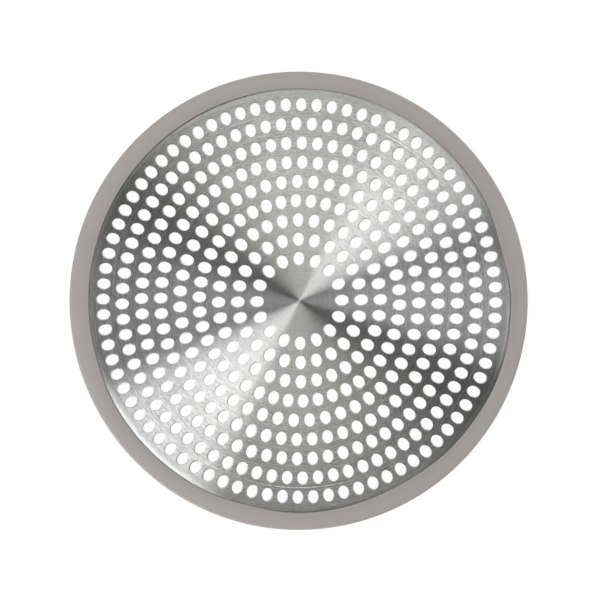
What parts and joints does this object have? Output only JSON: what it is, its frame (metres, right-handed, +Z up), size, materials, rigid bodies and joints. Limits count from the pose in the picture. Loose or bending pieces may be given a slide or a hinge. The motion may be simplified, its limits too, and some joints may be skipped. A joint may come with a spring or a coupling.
{
  "type": "shower drain cover",
  "caption": "Round cover for a flat shower drain: a shallow domed steel disc with rings of oval holes, held in a soft grey silicone rim that rests on the floor.",
  "frame": {"origin": "on the floor, under the centre of the cover", "axes": "+Z up along the cover's axis, +X and +Y in the floor; seen from above with +Y up the picture, as in the picture"},
  "size_m": [0.146, 0.146, 0.008],
  "materials": {
    "disc_steel": "spun-brushed stainless steel, fine concentric grain",
    "rim_silicone": "matte warm grey silicone"
  },
  "bodies": {
    "root": {"perforated_disc": "disc_steel", "silicone_rim": "rim_silicone"}
  },
  "joints": []
}
